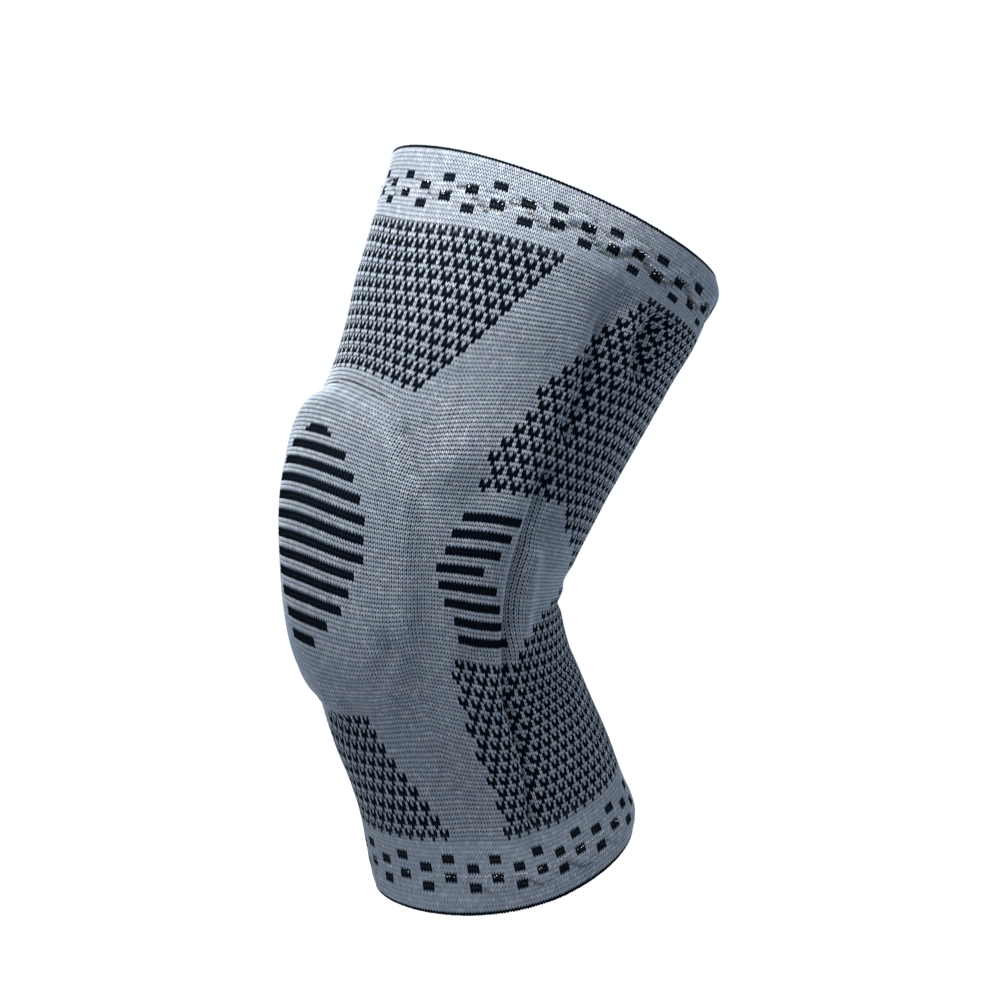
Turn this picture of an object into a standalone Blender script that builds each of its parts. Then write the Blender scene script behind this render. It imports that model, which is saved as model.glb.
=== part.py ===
"""A knitted knee sleeve at its real size, in the shape that it takes on a bent knee.

Metres, +Z up. The origin is the centre of the knee, -Y is the front of the leg and the
two sides are alike about X = 0. Lengths in the tables below are in millimetres.
"""

import math

import bmesh
import bpy
import numpy as np

MM = 0.001

# Driving sizes, in millimetres
THIGH_RIM = 156.0
THIGH_CUFF_HEIGHT = 28.0
CALF_RIM = -128.0
CALF_CUFF_HEIGHT = 28.0
KNIT_WALL = 1.8
CUFF_WALL = 2.0
CLEARANCE = 0.3
EDGE_RADIUS = 0.9

# How far each opening's rim leaves a plane square to the leg, in millimetres
THIGH_HEM_FRONT_LIFT = 3.0
CALF_HEM_FRONT_LIFT = 2.0
CALF_HEM_SIDE_DROP = 2.5
HEM_REACH = 50.0

# The worn form, a row for each section square to the leg's middle line. along is the
# distance up that line from the knee, lean is the line's tilt to the back in degrees,
# and front, back and side are the reaches from the line to the outer face.
FORM_COLUMNS = ("along", "lean", "front", "back", "side")
FORM = (
    (-128.0, -16.5, 46.5, 60.0, 51.5),
    (-115.0, -13.0, 47.0, 63.5, 53.0),
    (-98.0, -15.0, 47.5, 61.0, 51.5),
    (-80.0, -23.5, 47.5, 58.0, 50.0),
    (-62.0, -26.5, 46.5, 58.0, 49.0),
    (-44.0, -15.5, 46.5, 57.5, 49.0),
    (-22.0, -7.0, 50.5, 56.0, 49.5),
    (0.0, 6.0, 55.0, 56.5, 51.5),
    (22.0, 16.5, 60.5, 58.5, 55.5),
    (44.0, 22.5, 61.5, 62.5, 58.0),
    (64.0, 27.5, 60.0, 65.5, 59.0),
    (84.0, 26.5, 61.5, 68.5, 61.5),
    (104.0, 22.5, 63.0, 73.0, 65.0),
    (125.0, 22.0, 62.0, 79.5, 67.5),
    (142.0, 24.5, 63.0, 79.5, 68.5),
    (156.0, 23.5, 64.0, 74.5, 66.5),
)

# The kneecap pad under the knit: its middle, its half height and half width along the
# leg and round it, and how far it lifts the knit
PAD_ALONG = 8.0
PAD_HALF_HEIGHT = 47.0
PAD_HALF_WIDTH = 49.0
PAD_LIFT = 5.7
PAD_SQUARENESS = 2.4
PAD_CREST = 0.86
PAD_FOOT = 1.08

# The pad is a ring: where its outer and inner edges lie, as shares of its outline
PAD_RING_OUTER = 0.84
PAD_RING_INNER = 0.50
PAD_SKIN = 1.6

# Ridges and hollows of the worn knit, a row for each fold. turn is degrees from the
# front, the same on both sides; the two reaches are in millimetres; slant is degrees
# from the leg's line.
FOLD_COLUMNS = ("along", "turn", "reach_along", "reach_round", "height", "slant")
FOLDS = (
    (10.0, 84.0, 120.0, 7.0, 1.2, 0.0),
    (4.0, 94.0, 34.0, 6.0, -1.6, 0.0),
    (108.0, 107.0, 30.0, 9.0, -2.2, -12.0),
    (-76.0, 91.0, 30.0, 7.0, -1.4, 4.0),
    (-10.0, 52.0, 14.0, 7.0, -1.6, 10.0),
    (-34.0, 32.0, 9.0, 13.0, -1.8, 20.0),
    (50.0, 40.0, 9.0, 14.0, -1.6, -25.0),
    (24.0, 58.0, 16.0, 7.0, -1.2, -8.0),
    (6.0, 165.0, 7.0, 34.0, -1.6, 0.0),
    (-12.0, 160.0, 7.0, 36.0, -2.0, 0.0),
)

# The flexible stays along the two sides
STAY_TURN = 84.0
STAY_FROM = -92.0
STAY_TO = 108.0
STAY_HALF_WIDTH = 3.0
STAY_THICK = 1.8

# The wavy grip lines inside the cuffs
GRIP_WAVES = 16
GRIP_SWING = 2.6
GRIP_RADIUS = 0.6
GRIP_BELOW_RIM = 13.5

# Steps of the solids
COLUMNS_ROUND = 48
SLEEVE_ROWS = 28
CUFF_ROWS = 4
GRIP_POINTS = 96
PAD_POINTS = 32
PAD_SECTION = 8
STAY_ROWS = 22
MIDDLE_LINE_STEPS = 569

# How far apart the points are that give the face's slope, in millimetres and radians
SLOPE_STEP = 0.5
SLOPE_TURN = 0.01

# Points of a seam that lie this close, in metres, are one point
SEAM_MERGE = 0.00001


def clear_scene():
    for item in list(bpy.data.objects):
        bpy.data.objects.remove(item, do_unlink=True)


def column(table, names, name):
    """One named column of a table, as an array."""
    return np.array([row[names.index(name)] for row in table])


def smooth_curve(at, places, values):
    """A smooth curve through a short table, read at each place in at."""
    widths = np.diff(places)
    steps = np.diff(values) / widths
    slopes = np.empty(len(values))
    slopes[1:-1] = steps[:-1] * widths[1:] + steps[1:] * widths[:-1]
    slopes[1:-1] /= widths[:-1] + widths[1:]
    slopes[0] = steps[0]
    slopes[-1] = steps[-1]
    row = np.searchsorted(places, at, side="right") - 1
    row = np.clip(row, 0, len(widths) - 1)
    width = widths[row]
    t = (at - places[row]) / width
    start = (2 * t**3 - 3 * t**2 + 1) * values[row]
    start += (t**3 - 2 * t**2 + t) * width * slopes[row]
    end = (3 * t**2 - 2 * t**3) * values[row + 1]
    end += (t**3 - t**2) * width * slopes[row + 1]
    return start + end


def soft_step(low, high, value):
    """0 below low, 1 above high, and a smooth rise between them."""
    t = np.clip((value - low) / (high - low), 0.0, 1.0)
    return t * t * (3.0 - 2.0 * t)


def form_at(name, along):
    places = column(FORM, FORM_COLUMNS, "along")
    return smooth_curve(along, places, column(FORM, FORM_COLUMNS, name))


def middle_line(along):
    """The leg's middle line in the Y-Z plane, summed from the leans, 0 at the knee."""
    fine = np.linspace(CALF_RIM, THIGH_RIM, MIDDLE_LINE_STEPS)
    lean = np.radians(form_at("lean", fine))
    gaps = np.diff(fine)
    back = np.concatenate([[0.0], np.cumsum((np.sin(lean[1:]) + np.sin(lean[:-1])) / 2 * gaps)])
    up = np.concatenate([[0.0], np.cumsum((np.cos(lean[1:]) + np.cos(lean[:-1])) / 2 * gaps)])
    back -= np.interp(0.0, fine, back)
    up -= np.interp(0.0, fine, up)
    return np.interp(along, fine, back), np.interp(along, fine, up)


def round_distance(along, turn):
    """Millimetres round the leg from its front line, the same on both sides."""
    angle = np.arctan2(np.abs(np.sin(turn)), np.cos(turn))
    return angle * (form_at("front", along) + form_at("side", along)) / 2


def pad_share(along, turn):
    """0 at the pad's middle and 1 on its outline."""
    high = np.abs((along - PAD_ALONG) / PAD_HALF_HEIGHT) ** PAD_SQUARENESS
    wide = np.abs(round_distance(along, turn) / PAD_HALF_WIDTH) ** PAD_SQUARENESS
    return (high + wide) ** (1.0 / PAD_SQUARENESS)


def pad_rise(along, turn):
    return PAD_LIFT * (1.0 - soft_step(PAD_CREST, PAD_FOOT, pad_share(along, turn)))


def fold_rise(along, turn):
    rise = np.zeros(np.shape(along))
    girth_radius = form_at("side", along)
    angle = np.arctan2(np.abs(np.sin(turn)), np.cos(turn))
    for row in FOLDS:
        fold = dict(zip(FOLD_COLUMNS, row))
        up = along - fold["along"]
        across = (angle - math.radians(fold["turn"])) * girth_radius
        tilt = math.radians(fold["slant"])
        run = (up * math.cos(tilt) + across * math.sin(tilt)) / fold["reach_along"]
        side = (across * math.cos(tilt) - up * math.sin(tilt)) / fold["reach_round"]
        rise += fold["height"] * np.exp(-(run**2) - side**2)
    return rise


def hem_lift(along, turn):
    near_thigh = np.clip((along - THIGH_RIM + HEM_REACH) / HEM_REACH, 0.0, 1.0) ** 2
    near_calf = np.clip((CALF_RIM + HEM_REACH - along) / HEM_REACH, 0.0, 1.0) ** 2
    thigh = THIGH_HEM_FRONT_LIFT * np.cos(turn)
    calf = CALF_HEM_FRONT_LIFT * np.cos(turn) - CALF_HEM_SIDE_DROP * np.sin(turn) ** 2
    return near_thigh * thigh + near_calf * calf


def worn_point(along, turn, padded=True):
    """A point of the sleeve's outer face, in millimetres. turn is 0 at the front."""
    front = form_at("front", along)
    back = form_at("back", along)
    lean = np.radians(form_at("lean", along))
    middle_y, middle_z = middle_line(along)
    rise = fold_rise(along, turn)
    if padded:
        rise = rise + pad_rise(along, turn)
    reach = (front + back) / 2 + (front - back) / 2 * np.cos(turn) + rise
    out = -reach * np.cos(turn)
    lift = hem_lift(along, turn)
    x = (form_at("side", along) + rise) * np.sin(turn)
    y = middle_y + out * np.cos(lean) + lift * np.sin(lean)
    z = middle_z - out * np.sin(lean) + lift * np.cos(lean)
    return np.stack([x, y, z], axis=-1)


def below_face(along, turn, depth, padded=True):
    """Points at a depth under the outer face, in metres."""
    along, turn, depth = np.broadcast_arrays(
        np.asarray(along, float), np.asarray(turn, float), np.asarray(depth, float)
    )
    up = worn_point(along + SLOPE_STEP, turn, padded)
    up -= worn_point(along - SLOPE_STEP, turn, padded)
    round_leg = worn_point(along, turn + SLOPE_TURN, padded)
    round_leg -= worn_point(along, turn - SLOPE_TURN, padded)
    outward = np.cross(round_leg, up)
    outward /= np.linalg.norm(outward, axis=-1, keepdims=True)
    return (worn_point(along, turn, padded) - outward * depth[..., None]) * MM


def material(name, color, roughness):
    made = bpy.data.materials.new(name)
    made.use_nodes = True
    shader = made.node_tree.nodes["Principled BSDF"]
    shader.inputs["Base Color"].default_value = (*color, 1.0)
    shader.inputs["Roughness"].default_value = roughness
    shader.inputs["Metallic"].default_value = 0.0
    made.diffuse_color = (*color, 1.0)
    return made


def add_piece(name, data, finish):
    piece = bpy.data.objects.new(name, data)
    data.materials.append(finish)
    SLEEVE_PARTS.objects.link(piece)
    return piece


def wrapped_grid(name, across, up, place):
    """A flat grid whose points are moved by place(share_across, share_up)."""
    work = bmesh.new()
    bmesh.ops.create_grid(work, x_segments=across, y_segments=up, size=1.0)
    shares = np.array([(vertex.co.x, vertex.co.y) for vertex in work.verts])
    shares = (shares + 1.0) / 2.0
    for vertex, point in zip(work.verts, place(shares[:, 0], shares[:, 1])):
        vertex.co = point
    mesh = bpy.data.meshes.new(name)
    work.to_mesh(mesh)
    work.free()
    return mesh


def close_seams(mesh):
    """Join the points where the wrapped edges of a grid meet."""
    work = bmesh.new()
    work.from_mesh(mesh)
    bmesh.ops.remove_doubles(work, verts=work.verts, dist=SEAM_MERGE)
    bmesh.ops.recalc_face_normals(work, faces=work.faces)
    work.to_mesh(mesh)
    work.free()


def knit_band(name, low, high, rows, wall, finish):
    """A band of knit round the leg: its outer face, thickened inwards to a wall."""

    def place(share_round, share_up):
        along = low + (high - low) * share_up
        return below_face(along, 2 * math.pi * share_round, 0.0)

    mesh = wrapped_grid(name, COLUMNS_ROUND, rows, place)
    close_seams(mesh)
    mesh.shade_smooth()
    piece = add_piece(name, mesh, finish)
    solidify = piece.modifiers.new("wall", "SOLIDIFY")
    solidify.thickness = wall * MM
    solidify.offset = -1.0
    solidify.use_even_offset = True
    solidify.use_quality_normals = True
    return piece


def round_cord(name, points, radius, sides_step, finish):
    """A closed cord through points, with a round section."""
    data = bpy.data.curves.new(name, "CURVE")
    data.dimensions = "3D"
    data.bevel_depth = radius * MM
    data.bevel_resolution = sides_step
    spline = data.splines.new("POLY")
    spline.points.add(len(points) - 1)
    for knot, point in zip(spline.points, points):
        knot.co = (*point, 1.0)
    spline.use_cyclic_u = True
    return add_piece(name, data, finish)


def edge_cord(name, rim, way_out, finish):
    """The welted edge: a cord along a rim, just past the end of the cuff."""
    turns = np.linspace(0.0, 2 * math.pi, COLUMNS_ROUND, endpoint=False)
    along = rim - way_out * EDGE_RADIUS
    points = below_face(along, turns, CUFF_WALL / 2)
    return round_cord(name, points, EDGE_RADIUS, 1, finish)


def grip_line(name, middle, finish):
    """A wavy line of clear silicone on the inner face of a cuff."""
    turns = np.linspace(0.0, 2 * math.pi, GRIP_POINTS, endpoint=False)
    along = middle + GRIP_SWING * np.cos(GRIP_WAVES * turns)
    depth = CUFF_WALL + 2 * CLEARANCE + GRIP_RADIUS
    return round_cord(name, below_face(along, turns, depth), GRIP_RADIUS, 0, finish)


def kneecap_pad(finish):
    """A soft ring round the kneecap, domed outside where it lifts the knit."""
    middle = (PAD_RING_OUTER + PAD_RING_INNER) / 2
    half = (PAD_RING_OUTER - PAD_RING_INNER) / 2
    radius = form_at("side", np.array(PAD_ALONG))

    def place(share_ring, share_section):
        ring = 2 * math.pi * share_ring
        section = 2 * math.pi * share_section
        share = middle + half * np.cos(section)
        outline = (
            np.abs(np.cos(ring)) ** PAD_SQUARENESS + np.abs(np.sin(ring)) ** PAD_SQUARENESS
        ) ** (-1.0 / PAD_SQUARENESS)
        along = PAD_ALONG + PAD_HALF_HEIGHT * share * outline * np.sin(ring)
        turn = PAD_HALF_WIDTH * share * outline * np.cos(ring) / radius
        outer = below_face(along, turn, KNIT_WALL + 2 * CLEARANCE)
        inner = below_face(along, turn, KNIT_WALL + PAD_SKIN, padded=False)
        inward = ((1.0 - np.sin(section)) / 2)[:, None]
        return outer * (1.0 - inward) + inner * inward

    mesh = wrapped_grid("kneecap_pad", PAD_POINTS, PAD_SECTION, place)
    close_seams(mesh)
    mesh.shade_smooth()
    return add_piece("kneecap_pad", mesh, finish)


def side_stay(name, side, finish):
    """A flat flexible stay under the knit, along one side of the leg."""
    half_turn = STAY_HALF_WIDTH / float(form_at("side", np.array(0.0)))
    depth = KNIT_WALL + 2 * CLEARANCE

    def place(share_across, share_up):
        along = STAY_FROM + (STAY_TO - STAY_FROM) * share_up
        turn = side * (math.radians(STAY_TURN) + half_turn * (2 * share_across - 1))
        return below_face(along, turn, depth)

    mesh = wrapped_grid(name, 2, STAY_ROWS, place)
    mesh.shade_smooth()
    piece = add_piece(name, mesh, finish)
    solidify = piece.modifiers.new("thickness", "SOLIDIFY")
    solidify.thickness = STAY_THICK * MM
    # The strip of the +X side faces out, and its mirror on the other side faces in
    solidify.offset = -side
    return piece


clear_scene()
SLEEVE_PARTS = bpy.data.collections.new("knee_sleeve")
bpy.context.scene.collection.children.link(SLEEVE_PARTS)

grey_knit = material("grey_blue_knit", (0.36, 0.42, 0.50), 0.85)
cuff_knit = material("pale_cuff_knit", (0.42, 0.47, 0.54), 0.85)
black_yarn = material("black_yarn", (0.012, 0.016, 0.024), 0.80)
soft_gel = material("soft_gel", (0.55, 0.62, 0.70), 0.35)
spring_steel = material("sprung_steel", (0.60, 0.60, 0.62), 0.35)
clear_silicone = material("clear_silicone", (0.80, 0.84, 0.88), 0.20)

thigh_cuff_top = THIGH_RIM - 2 * EDGE_RADIUS - CLEARANCE
thigh_cuff_foot = THIGH_RIM - THIGH_CUFF_HEIGHT
calf_cuff_foot = CALF_RIM + 2 * EDGE_RADIUS + CLEARANCE
calf_cuff_top = CALF_RIM + CALF_CUFF_HEIGHT
knit_foot = calf_cuff_top + CLEARANCE
knit_top = thigh_cuff_foot - CLEARANCE

knit_band("knit_sleeve", knit_foot, knit_top, SLEEVE_ROWS, KNIT_WALL, grey_knit)
knit_band("thigh_cuff", thigh_cuff_foot, thigh_cuff_top, CUFF_ROWS, CUFF_WALL, cuff_knit)
knit_band("calf_cuff", calf_cuff_foot, calf_cuff_top, CUFF_ROWS, CUFF_WALL, cuff_knit)
edge_cord("thigh_edge", THIGH_RIM, 1, black_yarn)
edge_cord("calf_edge", CALF_RIM, -1, black_yarn)
kneecap_pad(soft_gel)
side_stay("outer_stay", 1, spring_steel)
side_stay("inner_stay", -1, spring_steel)
grip_line("thigh_grip", THIGH_RIM - GRIP_BELOW_RIM, clear_silicone)
grip_line("calf_grip", CALF_RIM + GRIP_BELOW_RIM, clear_silicone)
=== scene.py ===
# %% [markdown]
# # A knitted knee sleeve on a bent knee
#
# The real thing is one tube of elastic jacquard knit. Light grey-blue yarn makes the plain
# parts, and near-black yarn makes the broken checks, the stripes and the small rectangles.
# A soft gel ring lifts the knit round the kneecap, two springs stiffen its sides, and a wavy
# line of silicone inside each cuff grips the leg.
#
# A picture of knitting on a smooth tube looks flat from close up. Here each of more than
# 42,000 stitches is a small closed shape: the pattern is charted as a knitter would chart
# it, and Geometry Nodes lay the stitches on the worn form.

# %% Load the solids that the sleeve is fitted to
import math

import bmesh
import bpy
import numpy as np
from mathutils import Matrix, Vector


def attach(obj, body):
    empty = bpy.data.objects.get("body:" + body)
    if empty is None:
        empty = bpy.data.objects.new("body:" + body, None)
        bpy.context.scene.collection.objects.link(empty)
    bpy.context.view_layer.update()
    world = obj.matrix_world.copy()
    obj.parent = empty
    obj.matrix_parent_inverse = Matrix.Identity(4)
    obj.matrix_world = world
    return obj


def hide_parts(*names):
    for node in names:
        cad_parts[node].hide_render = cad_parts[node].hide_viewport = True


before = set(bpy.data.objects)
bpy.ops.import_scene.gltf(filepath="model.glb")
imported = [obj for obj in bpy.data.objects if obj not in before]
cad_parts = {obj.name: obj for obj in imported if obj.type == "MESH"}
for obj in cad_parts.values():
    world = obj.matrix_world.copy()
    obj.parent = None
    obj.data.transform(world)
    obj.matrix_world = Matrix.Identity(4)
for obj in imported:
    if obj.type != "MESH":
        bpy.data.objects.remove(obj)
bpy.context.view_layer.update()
MM = 0.001
print("solids:", sorted(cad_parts))

# %% [markdown]
# ## The camera
#
# The photo is taken from the outer side of the knee and a little above it, with a long lens,
# so that near and far parts have nearly the same scale. The camera is made from three
# directions: to its right, up in the picture, and back from the knee to the lens.

# %% Place the camera
CAMERA_TURN = math.radians(55.0)
CAMERA_RISE = math.radians(8.7)
CAMERA_DISTANCE = 1.4
LOOK_RIGHT = 28.6 * MM
LOOK_UP = 31.1 * MM
PICTURE_WIDTH_AT_KNEE = 0.4
SENSOR = 36.0

to_right = Vector((math.cos(CAMERA_TURN), math.sin(CAMERA_TURN), 0.0))
to_back = Vector((
    math.sin(CAMERA_TURN) * math.cos(CAMERA_RISE),
    -math.cos(CAMERA_TURN) * math.cos(CAMERA_RISE),
    math.sin(CAMERA_RISE),
))
to_top = to_back.cross(to_right)
look_at = to_right * LOOK_RIGHT + Vector((0.0, 0.0, LOOK_UP))

lens = bpy.data.cameras.new("photo_camera")
lens.sensor_width = SENSOR
lens.lens = SENSOR * CAMERA_DISTANCE / PICTURE_WIDTH_AT_KNEE
camera = bpy.data.objects.new("photo_camera", lens)
camera.matrix_world = Matrix.Translation(look_at + to_back * CAMERA_DISTANCE) @ Matrix((
    (to_right.x, to_top.x, to_back.x, 0.0),
    (to_right.y, to_top.y, to_back.y, 0.0),
    (to_right.z, to_top.z, to_back.z, 0.0),
    (0.0, 0.0, 0.0, 1.0),
))
bpy.context.scene.collection.objects.link(camera)
bpy.context.scene.camera = camera
print("lens:", round(lens.lens, 1), "mm")

# %% [markdown]
# ## The worn form
#
# A sleeve has no shape of its own: it takes the shape of the leg. That shape is written as a
# table of sections along the leg's bent middle line, each with its reach to the front, the
# back and the sides. A smooth curve through each column gives the form between the rows.
# A sculpted mesh could do the same, but a table can be read and changed.

# %% Sections of the leg, in millimetres and degrees
THIGH_RIM = 156.0
CALF_RIM = -128.0
FORM_COLUMNS = ("along", "lean", "front", "back", "side")
FORM = (
    (-128, -16.5, 46.5, 60, 51.5),
    (-115, -13, 47, 63.5, 53),
    (-98, -15, 47.5, 61, 51.5),
    (-80, -23.5, 47.5, 58, 50),
    (-62, -26.5, 46.5, 58, 49),
    (-44, -15.5, 46.5, 57.5, 49),
    (-22, -7, 50.5, 56, 49.5),
    (0, 6, 55, 56.5, 51.5),
    (22, 16.5, 60.5, 58.5, 55.5),
    (44, 22.5, 61.5, 62.5, 58),
    (64, 27.5, 60, 65.5, 59),
    (84, 26.5, 61.5, 68.5, 61.5),
    (104, 22.5, 63, 73, 65),
    (125, 22, 62, 79.5, 67.5),
    (142, 24.5, 63, 79.5, 68.5),
    (156, 23.5, 64, 74.5, 66.5),
)


def column(table, names, name):
    """One named column of a table."""
    return np.array([row[names.index(name)] for row in table], float)


def smooth_curve(at, places, values):
    """A smooth curve through a short table, read at each place in at."""
    widths = np.diff(places)
    steps = np.diff(values) / widths
    slopes = np.empty(len(values))
    slopes[1:-1] = steps[:-1] * widths[1:] + steps[1:] * widths[:-1]
    slopes[1:-1] /= widths[:-1] + widths[1:]
    slopes[0] = steps[0]
    slopes[-1] = steps[-1]
    row = np.clip(np.searchsorted(places, at, side="right") - 1, 0, len(widths) - 1)
    width = widths[row]
    t = (at - places[row]) / width
    start = (2 * t**3 - 3 * t**2 + 1) * values[row]
    start += (t**3 - 2 * t**2 + t) * width * slopes[row]
    end = (3 * t**2 - 2 * t**3) * values[row + 1]
    end += (t**3 - t**2) * width * slopes[row + 1]
    return start + end


def soft_step(low, high, value):
    """0 below low, 1 above high, and a smooth rise between them."""
    t = np.clip((value - low) / (high - low), 0.0, 1.0)
    return t * t * (3.0 - 2.0 * t)


def form_at(name, along):
    places = column(FORM, FORM_COLUMNS, "along")
    return smooth_curve(along, places, column(FORM, FORM_COLUMNS, name))


MIDDLE_STEPS = 569
BEYOND_RIM = 4.0


def middle_line(along):
    """The leg's middle line, summed from its leans: its place to the back and its height."""
    fine = np.linspace(CALF_RIM - BEYOND_RIM, THIGH_RIM + BEYOND_RIM, MIDDLE_STEPS)
    lean = np.radians(form_at("lean", fine))
    gaps = np.diff(fine)
    back = np.concatenate([[0.0], np.cumsum((np.sin(lean[1:]) + np.sin(lean[:-1])) / 2 * gaps)])
    up = np.concatenate([[0.0], np.cumsum((np.cos(lean[1:]) + np.cos(lean[:-1])) / 2 * gaps)])
    back -= np.interp(0.0, fine, back)
    up -= np.interp(0.0, fine, up)
    return np.interp(along, fine, back), np.interp(along, fine, up)


print("sections:", len(FORM), "from", CALF_RIM, "to", THIGH_RIM, "mm along the leg")

# %% [markdown]
# ## Pad, folds, creases and grip ridge
#
# On top of the leg's form lie the things that make it look worn: the raised ring round the
# kneecap, the ridges over the side springs, hollows, small wrinkles beside the pad, fuller
# places behind the cuffs, and the wavy ridge that the silicone line raises in each cuff.
# Each fold is one row of a table and adds a soft bump or hollow. A crease is longer and
# narrower, and its row has a path of places to follow. Every one is easy to find and move.

# %% Relief of the worn knit, in millimetres and degrees
PAD_ALONG = 8.0
PAD_HALF_HEIGHT = 47.0
PAD_HALF_WIDTH = 49.0
PAD_LIFT = 5.7
PAD_SQUARENESS = 2.4
PAD_CREST = 0.86
PAD_FOOT = 1.08
PAD_RIM = 0.95
PAD_RIM_REACH = 0.07
PAD_RIM_HEIGHT = 1.3

# The last column is the share of a fold that the far side of the leg has too.
FOLD_COLUMNS = ("along", "turn", "reach_along", "reach_round", "height", "slant", "far")
FOLDS = (
    (10, 84, 120, 7, 1.2, 0, 1),
    (-25, 77, 8, 7, -2.2, 0, 0.5),
    (53, 10, 4.5, 12, -1.3, 0, 0.3),
    (-34, 14, 12, 12, -2.2, 0, 0.6),
    (42, 54, 11, 6.5, 2.6, 20, 0.3),
    (34, 69, 14, 6, -1.6, 10, 0.5),
    (6, 165, 7, 34, -1.6, 0, 1),
    (-12, 160, 7, 36, -2, 0, 1),
    (150, 148, 7, 34, 4.2, 0, 1),
    (-121, 148, 9, 34, 2.3, 0, 1),
    (156, 20, 8, 40, 1.4, 0, 1),
    (-124, 10, 6, 40, 1.2, 0, 1),
)

# Each crease has a height, a reach to its sides, a far share and a path of (along, turn).
CREASES = (
    (-2.6, 6.5, 0.8, ((124, 90), (116, 87.5))),
    (-4.6, 4.2, 0.8, ((110, 87.5), (97, 89), (86, 92.5), (70, 92.5))),
    (-6.8, 5.8, 0.6, ((119, 110), (112, 108.5), (106, 111))),
    (2.2, 3.4, 1, ((117, 97), (104, 101), (96, 103))),
    (-4.2, 2.6, 0.8, (
        (50, 93), (28, 93), (6, 94), (-12, 95), (-36, 92), (-56, 91.5), (-72, 88.5), (-94, 82),
    )),
    (-2.4, 6, 0.8, ((-46, 92), (-56, 91.5), (-72, 88.5), (-94, 82), (-104, 79))),
    (2.4, 4.5, 0.8, ((18, 100), (2, 103), (-12, 103), (-24, 101))),
    (-2.8, 3.2, 0.2, ((46, 35), (42, 38.5), (35, 43))),
    (-1.8, 3, 0.2, ((50, 42), (43, 46), (30, 50))),
    (-3, 4.2, 0.4, ((-17, 41), (-24, 36), (-30, 28), (-36, 12))),
)

GRIP_WAVES = 16
GRIP_SWING = 2.6
GRIP_BELOW_RIM = 13.5
RIDGE_HEIGHT = 1.0
RIDGE_REACH = 1.8
GROOVE_DEPTH = 0.95
GROOVE_REACH = 1.1
GROOVE_BELOW = 3.1
GRIP_SHARES = ((0, 0.1), (25, 0.2), (55, 0.9), (80, 1.1), (115, 1.1), (145, 0.6), (180, 0.5))
CALF_GRIP_SHARE = 0.35
THIGH_HEM_FRONT_LIFT = 3.0
CALF_HEM_FRONT_LIFT = 2.0
CALF_HEM_SIDE_DROP = 2.5
HEM_REACH = 50.0
print("folds:", len(FOLDS), "and creases:", len(CREASES))


# %% How far the relief rises
def angle_from_front(turn):
    return np.arctan2(np.abs(np.sin(turn)), np.cos(turn))


def pad_share(along, turn):
    """0 at the pad's middle and 1 on its outline."""
    arc = angle_from_front(turn) * (form_at("front", along) + form_at("side", along)) / 2
    high = np.abs((along - PAD_ALONG) / PAD_HALF_HEIGHT) ** PAD_SQUARENESS
    wide = np.abs(arc / PAD_HALF_WIDTH) ** PAD_SQUARENESS
    return (high + wide) ** (1.0 / PAD_SQUARENESS)


def pad_rise(along, turn):
    share = pad_share(along, turn)
    rim = PAD_RIM_HEIGHT * np.exp(-(((share - PAD_RIM) / PAD_RIM_REACH) ** 2))
    return PAD_LIFT * (1.0 - soft_step(PAD_CREST, PAD_FOOT, share)) + rim


def fold_rise(along, turn):
    rise = np.zeros(np.shape(along))
    girth_radius = form_at("side", along)
    angle = angle_from_front(turn)
    for row in FOLDS:
        fold = dict(zip(FOLD_COLUMNS, row))
        up = along - fold["along"]
        across = (angle - math.radians(fold["turn"])) * girth_radius
        tilt = math.radians(fold["slant"])
        run = (up * math.cos(tilt) + across * math.sin(tilt)) / fold["reach_along"]
        side = (across * math.cos(tilt) - up * math.sin(tilt)) / fold["reach_round"]
        height = fold["height"] * np.where(np.sin(turn) < 0.0, fold["far"], 1.0)
        rise += height * np.exp(-(run**2) - side**2)
    return rise


def path_distance(up, across, path):
    """The distance of each point to a path of straight runs, in millimetres."""
    nearest = np.full(np.shape(up), np.inf)
    for start, end in zip(path[:-1], path[1:]):
        run_up = end[0] - start[0]
        run_across = end[1] - start[1]
        share = (up - start[0]) * run_up + (across - start[1]) * run_across
        share = np.clip(share / (run_up**2 + run_across**2), 0.0, 1.0)
        gap = np.hypot(up - start[0] - share * run_up, across - start[1] - share * run_across)
        nearest = np.minimum(nearest, gap)
    return nearest


def crease_rise(along, turn):
    rise = np.zeros(np.shape(along))
    across = angle_from_front(turn) * form_at("side", along)
    for height, reach, far, places in CREASES:
        path = [
            (place, math.radians(angle) * float(form_at("side", np.array(place))))
            for place, angle in places
        ]
        share = np.where(np.sin(turn) < 0.0, far, 1.0)
        rise += height * share * np.exp(-((path_distance(along, across, path) / reach) ** 2))
    return rise


def grip_rise(along, turn):
    """The low wave that the silicone line raises in each cuff, with a groove under it."""
    swing = GRIP_SWING * np.cos(GRIP_WAVES * turn)
    places, shares = np.array(GRIP_SHARES).T
    around = np.interp(np.degrees(angle_from_front(turn)), places, shares)
    rise = np.zeros(np.shape(along))
    for middle, share in (
        (THIGH_RIM - GRIP_BELOW_RIM, 1.0), (CALF_RIM + GRIP_BELOW_RIM, CALF_GRIP_SHARE),
    ):
        off = along - middle - swing
        ridge = RIDGE_HEIGHT * np.exp(-((off / RIDGE_REACH) ** 2))
        ridge -= GROOVE_DEPTH * np.exp(-(((off + GROOVE_BELOW) / GROOVE_REACH) ** 2))
        rise += ridge * around * share
    return rise


pad_middle = float(pad_rise(np.array(PAD_ALONG), 0.0))
print("the pad lifts the knit by", round(pad_middle, 1), "mm")


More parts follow.
